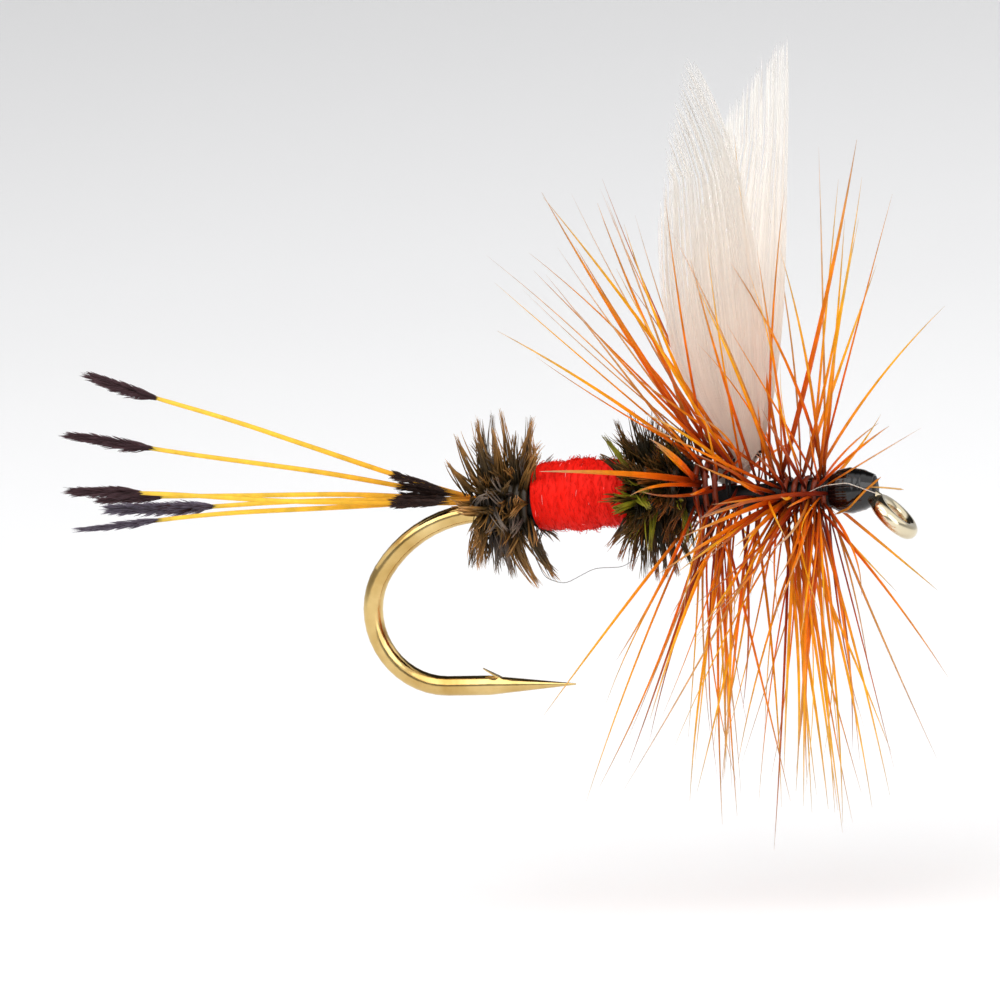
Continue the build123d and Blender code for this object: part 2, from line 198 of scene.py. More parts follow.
# ---- Materials ----
def ranged(tree, source, from_low, from_high, to_low, to_high, kind="LINEAR"):
    """Carries a value from one range into another, and stops at its ends."""
    made = tree.nodes.new("ShaderNodeMapRange")
    made.interpolation_type = kind
    for socket, value in (("From Min", from_low), ("From Max", from_high),
                          ("To Min", to_low), ("To Max", to_high)):
        made.inputs[socket].default_value = value
    tree.links.new(source, made.inputs["Value"])
    return made.outputs["Result"]


class Shader:
    """A Principled material whose colour comes from the tint of the mesh, mottled by noise."""

    def __init__(self, name, roughness, specular=0.5, metallic=0.0):
        self.material = bpy.data.materials.new(name)
        self.material.use_nodes = True
        self.tree = self.material.node_tree
        self.surface = self.tree.nodes["Principled BSDF"]
        self.output = self.tree.nodes["Material Output"]
        self.surface.inputs["Roughness"].default_value = roughness
        self.surface.inputs["Specular IOR Level"].default_value = specular
        self.surface.inputs["Metallic"].default_value = metallic

    def node(self, kind, **values):
        made = self.tree.nodes.new(kind)
        for key, value in values.items():
            if key in made.inputs:
                made.inputs[key].default_value = value
            else:
                setattr(made, key, value)
        return made

    def link(self, source, target):
        self.tree.links.new(source, target)

    def noise(self, scale, detail=3.0, stretch=None):
        """Noise in the fly's own space; stretch squeezes it along the axes, in 1/mm."""
        place = self.node("ShaderNodeTexCoord")
        mapped = self.node("ShaderNodeMapping")
        mapped.inputs["Scale"].default_value = stretch if stretch else (1, 1, 1)
        self.link(place.outputs["Object"], mapped.inputs["Vector"])
        noise = self.node("ShaderNodeTexNoise", Scale=scale, Detail=detail)
        self.link(mapped.outputs["Vector"], noise.inputs["Vector"])
        return noise.outputs["Fac"]

    def place(self, axis):
        """Place along an axis of the fly's own space, in metres."""
        coordinates = self.node("ShaderNodeTexCoord")
        split = self.node("ShaderNodeSeparateXYZ")
        self.link(coordinates.outputs["Object"], split.inputs["Vector"])
        return split.outputs[axis]

    def spread(self, noise, low, high):
        """Carries noise, which seldom leaves 0.3 to 0.7, into low to high."""
        return ranged(self.tree, noise, 0.3, 0.7, low, high)

    def tinted(self, low=0.75, high=1.2, scale=4000.0, stretch=None):
        """Colour: the mesh's tint, made lighter and darker by noise."""
        tint = self.node("ShaderNodeVertexColor", layer_name="tint")
        mottled = self.node("ShaderNodeVectorMath", operation="SCALE")
        self.link(tint.outputs["Color"], mottled.inputs[0])
        self.link(self.spread(self.noise(scale, stretch=stretch), low, high), mottled.inputs["Scale"])
        self.colour = mottled.outputs["Vector"]
        self.link(self.colour, self.surface.inputs["Base Color"])
        return self

    def rough(self, low, high, scale):
        self.link(self.spread(self.noise(scale), low, high), self.surface.inputs["Roughness"])
        return self

    def bump(self, scale, depth_mm, stretch=None):
        bump = self.node("ShaderNodeBump", Distance=depth_mm * MM)
        self.link(self.noise(scale, stretch=stretch), bump.inputs["Height"])
        self.link(bump.outputs["Normal"], self.surface.inputs["Normal"])
        return self

    def lit_through(self, share):
        """Lets light glow through thin fibre."""
        through = self.node("ShaderNodeBsdfTranslucent")
        mixed = self.node("ShaderNodeMixShader", Fac=share)
        self.link(self.colour, through.inputs["Color"])
        self.link(self.surface.outputs["BSDF"], mixed.inputs[1])
        self.link(through.outputs["BSDF"], mixed.inputs[2])
        self.link(mixed.outputs["Shader"], self.output.inputs["Surface"])
        return self


hackle_look = Shader("hackle_barb", 0.45, 0.3).tinted(0.82, 1.12, 2500.0).lit_through(0.5).material
tail_look = Shader("tippet_fibre", 0.5, 0.3).tinted(0.85, 1.1, 3000.0).lit_through(0.35).material
herl_look = Shader("peacock_herl", 0.42, 0.45).tinted(0.7, 1.3, 3500.0).lit_through(0.3).material
quill_look = Shader("feather_quill", 0.42, 0.4).tinted(0.75, 1.2, 3000.0).bump(9000.0, 0.01).material
floss_shader = Shader("red_floss", 0.65, 0.2).tinted(0.88, 1.08, 2600.0, (1.0, 0.35, 0.35))
floss_look = floss_shader.bump(16000.0, 0.012, (1.0, 0.2, 0.2)).lit_through(0.15).material
thread_look = Shader("tying_thread", 0.5, 0.3).tinted(0.7, 1.3, 6000.0).bump(20000.0, 0.006).material
filament_look = Shader("loose_filament", 0.3, 0.5).tinted(0.85, 1.1, 3000.0).lit_through(0.3).material


def wing_material():
    """White feather: light passes through it, and its thin upper part shows what is behind."""
    shader = Shader("wing_feather", 0.6, 0.2).tinted(0.97, 1.02, 1500.0, (6.0, 1.0, 0.4)).lit_through(0.45)
    foot_z, tip_z, foot_cover, tip_cover = 3, 12, 0.75, 0.26
    cover = ranged(shader.tree, shader.place("Z"), foot_z * MM, tip_z * MM, foot_cover, tip_cover)
    clear = shader.node("ShaderNodeBsdfTransparent")
    veiled = shader.node("ShaderNodeMixShader")
    shader.link(cover, veiled.inputs[0])
    shader.link(clear.outputs["BSDF"], veiled.inputs[1])
    shader.link(shader.output.inputs["Surface"].links[0].from_socket, veiled.inputs[2])
    shader.link(veiled.outputs["Shader"], shader.output.inputs["Surface"])
    return shader.material


def hook_material():
    """Bronzed wire: polished metal with small dull specks, paler where the eye is worn bare."""
    shader = Shader("bronzed_wire", 0.12, 0.5, 1.0)
    tone = shader.node("ShaderNodeMix", data_type="RGBA")
    tone.inputs["A"].default_value = (*linear((186, 150, 84)), 1)
    tone.inputs["B"].default_value = (*linear((226, 198, 136)), 1)
    shader.link(shader.spread(shader.noise(900.0, 4.0), 0.0, 1.0), tone.inputs["Factor"])
    wear_starts, wear_full, most_worn = -1.2, -0.3, 0.8
    worn = shader.node("ShaderNodeMix", data_type="RGBA")
    worn.inputs["B"].default_value = (*linear((222, 214, 190)), 1)
    shader.link(ranged(shader.tree, shader.place("X"), wear_starts * MM, wear_full * MM, 0.0, most_worn),
                worn.inputs["Factor"])
    shader.link(tone.outputs["Result"], worn.inputs["A"])
    shader.link(worn.outputs["Result"], shader.surface.inputs["Base Color"])
    return shader.rough(0.07, 0.2, 2500.0).bump(5000.0, 0.003).material


def cement_material():
    """Head cement: clear over black thread, hard and glossy."""
    shader = Shader("head_cement", 0.05, 0.3).tinted(0.6, 1.4, 3000.0)
    shader.surface.inputs["Coat Weight"].default_value = 0.5
    shader.surface.inputs["Coat Roughness"].default_value = 0.03
    return shader.rough(0.06, 0.16, 1800.0).bump(1500.0, 0.012).material


# ---- Camera, light and floor ----
def make_camera():
    azimuth, elevation, roll = radians(18.0), radians(6.0), radians(5.35)
    lens, sensor, seen_width = 150.0, 36.0, 27.5
    target = np.array([-10.98, 0.0, 1.07])
    right = np.array([cos(azimuth), sin(azimuth), 0.0])
    up = np.array([-sin(azimuth) * sin(elevation), cos(azimuth) * sin(elevation), cos(elevation)])
    back = np.cross(right, up)
    rolled_right = right * cos(roll) - up * sin(roll)
    rolled_up = right * sin(roll) + up * cos(roll)
    data = bpy.data.cameras.new("camera")
    data.lens = lens
    data.sensor_width = sensor
    data.clip_start, data.clip_end = 0.001, 10.0
    camera = bpy.data.objects.new("camera", data)
    bpy.context.scene.collection.objects.link(camera)
    distance = seen_width * lens / sensor
    turn = Matrix((rolled_right, rolled_up, back)).transposed()
    camera.matrix_world = Matrix.Translation(Vector((target + back * distance) * MM)) @ turn.to_4x4()
    bpy.context.scene.camera = camera


def make_light(name, place, aim, size, power):
    data = bpy.data.lights.new(name, "AREA")
    data.shape = "DISK"
    data.size = size * MM
    data.energy = power
    light = bpy.data.objects.new(name, data)
    bpy.context.scene.collection.objects.link(light)
    light.location = Vector(place) * MM
    light.rotation_mode = "QUATERNION"
    light.rotation_quaternion = (Vector(aim) - Vector(place)).to_track_quat("-Z", "Y")


def make_world():
    """Pale room, dark high up on the side away from the camera."""
    world = bpy.data.worlds.new("studio")
    world.use_nodes = True
    bpy.context.scene.world = world
    tree = world.node_tree
    background = tree.nodes["Background"]
    place = tree.nodes.new("ShaderNodeTexCoord")
    toward = tree.nodes.new("ShaderNodeVectorMath")
    toward.operation = "DOT_PRODUCT"
    toward.inputs[1].default_value = Vector((-0.2, 0.72, 0.66)).normalized()
    tree.links.new(place.outputs["Generated"], toward.inputs[0])
    dark_starts, dark_full, room, dark = 0.62, 0.86, 1.2, 0.03
    strength = ranged(tree, toward.outputs["Value"], dark_starts, dark_full, room, dark, "SMOOTHSTEP")
    tree.links.new(strength, background.inputs["Strength"])
    background.inputs["Color"].default_value = (0.97, 0.97, 0.98, 1)


def make_floor():
    """Plain pale floor that rises gently to a rim far from the fly on every side; its colour greys away from
    the fly as painted shade, standing in for light falling off.
    """
    below, flat_r, rim_r, rim_z, steepness = 1.5, 300.0, 900.0, 330.0, 2.4
    # Radii and tones of the painted shade: pale near the fly, grey far off.
    pale_r, painted_shade_r, pale_tone, painted_shade_tone = 300, 750, 0.97, 0.52
    radii = np.concatenate([np.linspace(0.5, flat_r, 10), np.linspace(flat_r, rim_r, 40)[1:]])
    rise = np.clip((radii - flat_r) / (rim_r - flat_r), 0, 1) ** steepness * rim_z
    height = cad_box[0].z / MM - below + rise
    turn = np.arange(floor_columns) * 2 * pi / floor_columns
    corners = np.stack([radii[:, None] * np.cos(turn), radii[:, None] * np.sin(turn),
                        np.broadcast_to(height[:, None], (len(radii), floor_columns))], axis=-1)
    faces = ring_faces(len(radii), floor_columns)[:-1]
    mesh = bpy.data.meshes.new("floor")
    mesh.from_pydata((corners.reshape(-1, 3) * MM).tolist(), [], faces)
    mesh.polygons.foreach_set("use_smooth", [True] * len(mesh.polygons))
    shader = Shader("pale_floor", 0.9, 0.1)
    place = shader.node("ShaderNodeTexCoord")
    away = shader.node("ShaderNodeVectorMath", operation="LENGTH")
    shader.link(place.outputs["Object"], away.inputs[0])
    # Painted shade: the floor's colour darkens from pale to grey away from the fly, in place of light falling
    # off.
    fade = ranged(shader.tree, away.outputs["Value"], pale_r * MM, painted_shade_r * MM, pale_tone, painted_shade_tone,
                  "SMOOTHSTEP")
    shader.link(fade, shader.surface.inputs["Base Color"])
    mesh.materials.append(shader.material)
    floor = bpy.data.objects.new("floor", mesh)
    bpy.context.scene.collection.objects.link(floor)


# ---- Small shapes that repeat ----
def around(axis_z, angle, radius, x):
    """Point at a station, an angle round the winding counted from the top, and a radius."""
    return np.array([x, radius * sin(angle), axis_z + radius * cos(angle)])


def curved(root, heading, length, bow, steps, power=2.0):
    """Path from root along heading that bends by the vector bow at its tip."""
    share = np.linspace(0, 1, steps)[:, None]
    return root + heading * length * share + bow * share ** power


def smooth_path(points, steps):
    """Gentle curve through points, evenly spaced."""
    lengths = np.concatenate([[0], np.cumsum(np.linalg.norm(np.diff(points, axis=0), axis=1))])
    even = np.linspace(0, lengths[-1], steps)
    path = np.stack([np.interp(even, lengths, points[:, axis]) for axis in range(3)], axis=-1)
    for _ in range(3):
        path[1:-1] = (path[:-2] + 2 * path[1:-1] + path[2:]) / 4
    return path


def ridged_barrel(pile, x_low, x_high, axis_z, radius_at, ridge, pitch, tint, rows, columns=56):
    """Barrel about the X line at axis_z, with the helical ridges of a winding."""
    stations = np.linspace(x_low, x_high, rows)
    turn = np.arange(columns) * 2 * pi / columns
    phase = stations[:, None] / pitch - turn[None, :] / (2 * pi)
    radius = radius_at(stations)[:, None] + ridge * (np.abs(np.sin(pi * phase)) - 0.6)
    corners = np.stack([np.broadcast_to(stations[:, None], radius.shape),
                        radius * np.sin(turn), axis_z + radius * np.cos(turn)], axis=-1)
    pile.barrel(corners, np.broadcast_to(linear(tint), corners.shape))


def helix(rear, front, axis_z, radius, turns, start=0.0, steps_per_turn=28):
    count = max(8, int(abs(turns) * steps_per_turn))
    share = np.linspace(0, 1, count)
    angle = start + share * turns * 2 * pi
    return np.stack([rear + (front - rear) * share, radius * np.sin(angle),
                     axis_z + radius * np.cos(angle)], axis=-1)


# ---- Tail ----
golden = [(0.0, (222, 140, 20)), (0.2, (238, 178, 34)), (0.45, (250, 210, 66)),
          (0.8, (250, 212, 78)), (1.0, (244, 196, 66))]
bar_dark = [(0.0, (42, 24, 18)), (0.6, (54, 34, 28)), (1.0, (84, 58, 50))]
brush_dark = [(0.0, (62, 36, 38)), (0.5, (78, 50, 54)), (1.0, (116, 88, 94))]
# Dark barbules that pale to grey-lilac toward their tips: painted sheen on the dark brush.
brush_dark_with_sheen = [(0.0, (56, 40, 48)), (0.5, (100, 88, 104)), (1.0, (160, 150, 166))]
# for each fibre: share of the length where the brush starts, lie of the barbules, count, sag
tail_brushes = [(0.815, 0.6, 460, -0.05), (0.78, 0.36, 280, 0.1), (0.82, 0.66, 620, 0.08),
                (0.7, 0.85, 820, 0.06), (0.78, 0.6, 700, 0.14), (0.83, 0.5, 420, 0.22)]


def barbules(pile, path, start, end, count, length, spread, stops, full=0.35, blunt=1.0):
    """Short fuzz that lies along a fibre on all sides, from one share of it to another.

    The fuzz stands out most at the share full of the way; the larger blunt is, the less it
    closes in again toward the end.
    """
    steps = len(path)
    for number in range(count):
        way = (number + rng.random()) / count
        place = (start + (end - start) * way) * (steps - 1)
        low = min(int(place), steps - 2)
        root = path[low] + (path[low + 1] - path[low]) * (place - low)
        along = unit(path[min(low + 3, steps - 1)] - path[max(low - 2, 0)])
        turn = rng.uniform(0, 2 * pi)
        side = unit(np.cross(along, [0, 0, 1.0])) * sin(turn) + np.array([0, 0, 1.0]) * cos(turn) * 1.15
        stand = min(1, way / full, (1.15 - way) * blunt) ** 0.5
        lean = spread * stand * rng.uniform(0.5, 1.25)
        reach = length * rng.uniform(0.7, 1.15)
        heading = unit(along + side * lean)
        fuzz = curved(root, heading, reach, -side * lean * reach * 0.3, 4)
        size = np.array([0.045, 0.045, 0.03, 0.006]) * rng.uniform(0.8, 1.3)
        tint = shade_along(stops, np.linspace(0, 1, 4)) * rng.uniform(0.7, 1.25)
        pile.strand(fuzz, size, size * 0.6, side, tint, 3)


def make_tail_fibre(number):
    node = f"tail_fibre_{number}"
    brush_start, spread, count, sag = tail_brushes[number - 1]
    line = ring_centres(node)
    path = smooth_path(line[1:], stalk_steps)
    share = np.linspace(0, 1, stalk_steps)
    path[:, 2] += sag * np.sin(pi * share) + 0.05 * np.sin(share * 9 + number) * share
    bar_start, bar_end = [np.interp(path[0, 0] - line[ring, 0], path[0, 0] - path[:, 0], share)
                          for ring in (2, 4)]
    pile = Pile()
    width = np.interp(share, [0, 0.1, 0.3, 0.8, 0.93, 1.0], [0.1, 0.12, 0.145, 0.125, 0.07, 0.02])
    shade = shade_along(golden, share)
    inside = np.clip((share - brush_start - 0.02) / 0.02, 0, 1)[:, None]
    shade = shade * (1 - inside) + linear(brush_dark[0][1]) * inside
    pile.strand(path, width, width * 0.62, np.array([0, 0.35, 1.0]), shade, 8)
    butt = np.linspace(line[0], line[1], 4)
    pile.strand(butt, 0.1, 0.08, np.array([0, 1.0, 0]), linear((225, 150, 25)), 6)
    barbules(pile, path, bar_start - 0.02, bar_end - 0.035, 560, 0.42, 0.42, bar_dark, 0.7, 6.0)
    # Fibres 2 and 4 carry the painted grey-lilac sheen.
    stops = brush_dark_with_sheen if number in (2, 4) else brush_dark
    barbules(pile, path, brush_start, 0.99, count, 0.55, spread, stops)
    if number == 4:
        barbules(pile, path, brush_start, 0.95, count // 2, 0.5, spread * 0.7, brush_dark)
    return pile.piece(f"tippet_fibre_{number}", tail_look, [node])


# ---- Herl ----
rear_herl_tones_and_glint = [
    [(0.0, (52, 38, 16)), (0.35, (126, 90, 40)), (0.8, (184, 134, 72)), (1.0, (196, 152, 96))],
    [(0.0, (36, 30, 16)), (0.5, (80, 62, 32)), (1.0, (140, 106, 62))],
    # Third tone: painted glint, barbules lightened to pale grey where the herl's sheen catches light.
    [(0.0, (60, 52, 44)), (0.5, (116, 104, 94)), (1.0, (150, 132, 116))],
]
front_herl_tones_and_glint = [
    [(0.0, (26, 22, 8)), (0.5, (54, 44, 14)), (1.0, (124, 88, 36))],
    [(0.0, (34, 26, 12)), (0.6, (92, 60, 20)), (1.0, (168, 98, 34))],
    # Third tone: painted glint, lime-gold barbules standing in for the herl's sheen.
    [(0.0, (70, 74, 16)), (0.5, (170, 166, 40)), (1.0, (140, 126, 48))],
]


def barbule_tuft(pile, root, tip, bow, count, gather, tone, size):
    """Barbules of a herl quill that stand side by side and draw together at their tips.

    Gather is how far apart the tips are, and size widens every barbule.
    """
    for _ in range(count):
        start = root + X * rng.normal(0, 0.12) + rng.normal(0, 0.04, 3)
        end = tip + rng.normal(0, gather, 3)
        middle = (start + end) / 2 + bow + rng.normal(0, 0.035, 3)
        steps = np.linspace(0, 1, 8)[:, None]
        path = start * (1 - steps) ** 2 + middle * 2 * steps * (1 - steps) + end * steps ** 2
        width = np.array([0.06, 0.078, 0.08, 0.074, 0.064, 0.05, 0.034, 0.01]) * size * rng.uniform(0.75, 1.2)
        tint = shade_along(tone, np.linspace(0, 1, 8)) * rng.uniform(0.75, 1.3)
        pile.strand(path, width, width * 0.45, unit(np.cross(X, end - start)), tint, 4)


def make_herl(name, strand_nodes, flue_node, tones, odds, tufts, reach, leans, gather, extra):
    """Quills wound side by side, and the flue standing out from them in small tufts."""
    rear, front, axis_z, outer = winding(strand_nodes[0])
    half = herl_quill_w / 2
    for number, node in enumerate(strand_nodes):
        pile = Pile()
        turns = (front - rear - herl_quill_w) / (len(strand_nodes) * (herl_quill_w + 0.01))
        line = helix(rear + half, front - half, axis_z, outer - half, turns,
                     start=2 * pi * number / len(strand_nodes))
        pile.strand(line, herl_quill_w * 1.05, herl_quill_w * 0.8, X, linear((46, 36, 20)), 8)
        pile.piece(f"{node}_quill", quill_look, [node])
    pile = Pile()
    for _ in range(tufts):
        share, angle = rng.random(), rng.uniform(0, 2 * pi)
        lean = radians(leans[0] + (leans[1] - leans[0]) * share + rng.normal(0, 11))
        outward = np.array([0, sin(angle), cos(angle)])
        across = np.cross(X, outward)
        heading = unit(outward * cos(lean) + X * sin(lean) + across * rng.normal(0, 0.45))
        length = reach * rng.uniform(0.55, 1.15)
        bow = (X * rng.normal(-0.03, 0.1) + across * rng.normal(0, 0.14)) * length
        root = around(axis_z, angle, outer - 0.12, rear + 0.05 + (front - rear - 0.1) * share)
        tone = tones[rng.choice(len(tones), p=odds)]
        barbule_tuft(pile, root, root + heading * length, bow, rng.integers(5, 10), gather, tone, 1.0)
    for share, angle, offset, bow, tone in extra:
        root = around(axis_z, radians(angle), outer - 0.12, rear + (front - rear) * share)
        barbule_tuft(pile, root, root + np.array(offset), np.array(bow), 13, 0.055, tones[tone], 1.15)
    return pile.piece(name, herl_look, [flue_node])


# Tufts that stand clear of the rest: share along the butt, angle from the top, tip from root, bow, tone (tone
# 2 is the painted glint)
rear_tufts = [
    (0.05, -60, (-0.5, -0.7, 1.0), (-0.15, 0, 0.1), 0), (0.12, -40, (-0.35, -0.6, 1.5), (-0.12, 0, 0.1), 0),
    (0.25, -20, (-0.1, -0.3, 1.75), (-0.1, 0, 0), 0), (0.32, -50, (-0.15, -0.6, 1.5), (0.1, 0, 0), 1),
    (0.42, -10, (-0.05, -0.1, 1.8), (-0.12, 0, 0), 2), (0.5, -40, (0.05, -0.5, 1.6), (0.12, 0, 0), 0),
    (0.62, -25, (0.0, -0.3, 1.95), (0.05, 0, 0), 0), (0.74, -45, (0.3, -0.6, 1.5), (-0.06, 0, 0.1), 1),
    (0.85, -30, (0.6, -0.4, 1.7), (-0.12, 0, 0.1), 0), (0.9, -60, (0.75, -0.7, 1.1), (-0.1, 0, 0.15), 0),
    (0.2, 20, (-0.3, 0.3, 1.6), (-0.1, 0, 0), 1), (0.7, 25, (0.3, 0.4, 1.6), (0.1, 0, 0), 1),
    (0.5, -155, (0.8, -0.4, -1.6), (-0.1, 0, -0.25), 0),
    (0.62, -145, (0.75, -0.5, -1.65), (-0.1, 0, -0.25), 0),
    (0.85, -145, (0.9, -0.5, -1.5), (-0.05, 0, -0.3), 0),
    (0.92, -130, (0.8, -0.6, -1.4), (-0.05, 0, -0.3), 1),
    (0.05, -150, (-0.3, -0.3, -1.0), (-0.1, 0, 0), 1), (0.15, -140, (-0.15, -0.5, -1.1), (-0.1, 0, 0), 0),
    (0.28, -150, (0.05, -0.3, -1.2), (0, 0, 0), 2), (0.4, -140, (0.35, -0.4, -1.3), (0, 0, -0.1), 2),
    (0.1, -95, (0.5, -0.9, 0.5), (0, -0.2, 0.2), 2), (0.3, -80, (0.7, -0.9, -0.7), (0, -0.3, 0), 2),
    (0.25, -100, (-0.5, -0.9, 0.2), (0, -0.2, 0), 0), (0.5, -105, (0.3, -1.0, -0.5), (0, -0.2, 0), 1),
    (0.55, -70, (0.5, -0.9, 0.5), (0, -0.2, 0), 1), (0.8, -90, (0.3, -1.0, 0.3), (0, -0.2, 0), 0),
    (0.35, 170, (0.1, 0.2, -1.4), (0, 0, 0), 1), (0.75, 165, (0.5, 0.3, -1.5), (0, 0, -0.1), 1),
]
front_tufts = [
    (0.02, -60, (-0.55, -0.6, 0.7), (0, 0, 0.1), 0), (0.06, -50, (-0.5, -0.5, 1.1), (0, 0, 0), 2),
    (0.15, -40, (-0.35, -0.5, 1.4), (0, 0, 0), 0), (0.3, -30, (-0.2, -0.3, 1.5), (0, 0, 0), 0),
    (0.1, -110, (-0.3, -1.0, -0.1), (0, -0.2, 0), 2), (0.3, -85, (0.4, -1.0, 0.1), (0, -0.2, 0), 2),
    (0.2, -95, (0.5, -0.9, -0.3), (0, -0.2, 0), 2), (0.35, -130, (0.1, -0.8, -1.0), (0, 0, 0), 2),
    (0.0, -140, (-0.6, -0.5, -0.8), (0, 0, 0), 1), (0.05, -150, (-0.5, -0.4, -1.1), (0, 0, 0), 1),
    (0.12, -155, (-0.35, -0.3, -1.4), (0, 0, 0), 1), (0.22, -150, (-0.1, -0.5, -1.6), (0, 0, 0), 0),
    (0.32, -155, (0.1, -0.4, -1.7), (0, 0, 0), 1), (0.42, -150, (0.25, -0.5, -1.65), (0, 0, 0), 0),
    (0.55, -148, (0.4, -0.5, -1.6), (0, 0, 0), 1), (0.7, -145, (0.6, -0.5, -1.5), (0, 0, 0), 0),
    (0.2, 165, (-0.2, 0.3, -1.5), (0, 0, 0), 0), (0.5, 170, (0.1, 0.2, -1.6), (0, 0, 0), 0),
]


# ---- Floss ----
def make_floss():
    rear, front, axis_z, outer = winding("floss_body")
    corners = corners_mm("floss_body")
    radius = np.hypot(corners[:, 1], corners[:, 2] - axis_z)
    end_r = radius[np.abs(corners[:, 0] - rear) < 0.01].max()

    def radius_at(x):
        share = (x - rear) / (front - rear)
        swell = np.sin(pi * np.clip(share, 0, 1) ** 0.8) ** 0.7
        lumps = 0.03 * np.sin(share * 15 + 0.6) + 0.016 * np.sin(share * 33 + 1)
        ends = np.minimum(1, np.minimum(share, 1 - share) / 0.03 + 0.86)
        return (end_r + (outer - end_r - 0.02) * swell + lumps * swell) * ends

    pile = Pile()
    ridged_barrel(pile, rear, front, axis_z, radius_at, 0.018, 0.21, (250, 22, 2), 150, 72)
    for _ in range(hair_count):
        x = rng.uniform(rear + 0.03, front - 0.03)
        angle = rng.uniform(0, 2 * pi)
        spin = rng.choice([-1, 1]) * rng.uniform(0.06, 0.3)
        lift = rng.uniform(-0.005, 0.035) + (rng.random() < 0.15) * rng.uniform(0, 0.05)
        base = radius_at(np.array([x]))[0]
        drift = rng.normal(0.03, 0.03)
        path = np.array([around(axis_z, angle + spin * step, base - 0.01 + lift * 4 * step * (1 - step * 0.6),
                                x + drift * step) for step in (0, 0.33, 0.67, 1)])
        # About 1.5% of the hairs get 0.3 added to their colour: painted highlight speckles on the floss.
        tint = linear((252, 26, 3)) * rng.uniform(0.72, 1.1) + (rng.random() < 0.015) * 0.3
        pile.strand(path, np.array([0.012, 0.02, 0.018, 0.005]), 0.014, X, tint, 3)
    return pile.piece("floss_band", floss_look, ["floss_body"])


# ---- Wings ----
def make_wing(node, side, name, tip_drop, tip_round, slant, corner_cut):
    """Feather slip: barbs lying edge to edge from the lashed butt up to the slanted, frayed tip.

    Side is 1 for the left wing and -1 for the right one. The tip lies tip_drop below the CAD one
    and is drawn back by tip_round; the trailing edge ends slant lower, and corner_cut more.
    """
    corners = corners_mm(node)
    low, high = box_mm(node)
    butt_end = corners[corners[:, 0] < low[0] + 0.02]
    butt_z = (butt_end[:, 2].min() + butt_end[:, 2].max()) / 2
    butt_r = (butt_end[:, 2].max() - butt_end[:, 2].min()) / 2
    foot_z = butt_z + butt_r + 0.25
    blade = edge_points_mm(node)
    blade = blade[blade[:, 2] > foot_z]
    bow = np.polyfit(blade[:, 2], blade[:, 1], 3)
    tip_z = blade[:, 2].max() - tip_drop
    middles = np.linspace(foot_z + 0.2, tip_z, 40)
    rows = [blade[np.abs(blade[:, 2] - middle) < 0.15] for middle in middles]
    lead = np.array([row[:, 0].max() for row in rows])
    chord = lead - np.array([row[:, 0].min() for row in rows])
    shoulder = tip_z - slant
    shoulder_chord = np.interp(shoulder - 0.3, middles, chord)
    foot = blade[blade[:, 2] < foot_z + 0.5]
    pile = Pile()
    for number in range(wing_barbs):
        across = (number + 0.5) / wing_barbs
        frayed = rng.uniform(-0.2, 0.05) if rng.random() < 0.8 else rng.uniform(-0.6, 0.12)
        end = tip_z - abs(across - 0.06) ** 1.1 * slant - across ** 8 * corner_cut + frayed
        z = np.linspace(foot_z, end, wing_steps)
        width = np.where(z > shoulder, shoulder_chord, np.interp(z, middles, chord))
        front_edge = np.interp(np.minimum(z, shoulder + 1.2), middles, lead)
        front_edge = front_edge - tip_round * np.clip((z - shoulder) / slant, 0, 1) ** 2
        rise = np.clip((z - foot_z) / 3, 0, 1)
        x = front_edge - width * across + rng.normal(0, 0.02) * np.linspace(0, 1, wing_steps) ** 3 * 3
        y = np.polyval(bow, z) + 0.012 * np.sin(across * 40 + z * 0.3) * rise + rng.normal(0, 0.005)
        y = y - side * 0.3 * sin(pi * across) * np.clip((z - foot_z) / 6, 0, 1)
        path = np.stack([x, y, z], axis=-1)
        turn, off = rng.uniform(-pi / 2, pi / 2), butt_r * 0.85 * rng.random() ** 0.5
        lashed = np.array([0, side * (0.03 + off * cos(turn)), butt_z + off * sin(turn)])
        stations = np.linspace(low[0] + rng.uniform(0, 0.12), foot[:, 0].mean() - 0.15, butt_steps)
        butt = lashed + X * stations[:, None]
        path = np.concatenate([butt, path])
        fades = np.clip((end - z + 0.03) / 0.35, 0.1, 1)
        size = np.concatenate([np.full(butt_steps, 0.06), width / wing_barbs * 1.7 * fades])
        shade = np.linspace(0, 1, wing_steps + butt_steps)[:, None]
        tint = linear((250, 238, 226)) * (1 - shade) + linear((254, 251, 246)) * shade
        pile.strand(path, size, 0.028, X, tint * (1 + rng.normal(0, 0.03)), 4)
    return pile.piece(name, wing_look, [node])


# ---- Hackles ----
orange = [(0.0, (124, 36, 6)), (0.1, (196, 72, 4)), (0.3, (240, 120, 4)), (0.6, (250, 164, 14)),
          (0.82, (228, 170, 88)), (1.0, (214, 180, 152))]
gold = [(0.0, (160, 58, 6)), (0.12, (226, 112, 4)), (0.3, (250, 166, 6)), (0.65, (255, 202, 28)),
        (0.85, (240, 200, 112)), (1.0, (224, 198, 170))]
mahogany = [(0.0, (98, 20, 6)), (0.2, (170, 50, 6)), (0.5, (212, 100, 18)), (0.8, (200, 132, 80)),
            (1.0, (200, 160, 142))]
pale = [(0.0, (166, 72, 12)), (0.2, (224, 142, 36)), (0.5, (236, 184, 100)), (0.8, (228, 198, 168)),
        (1.0, (224, 206, 196))]

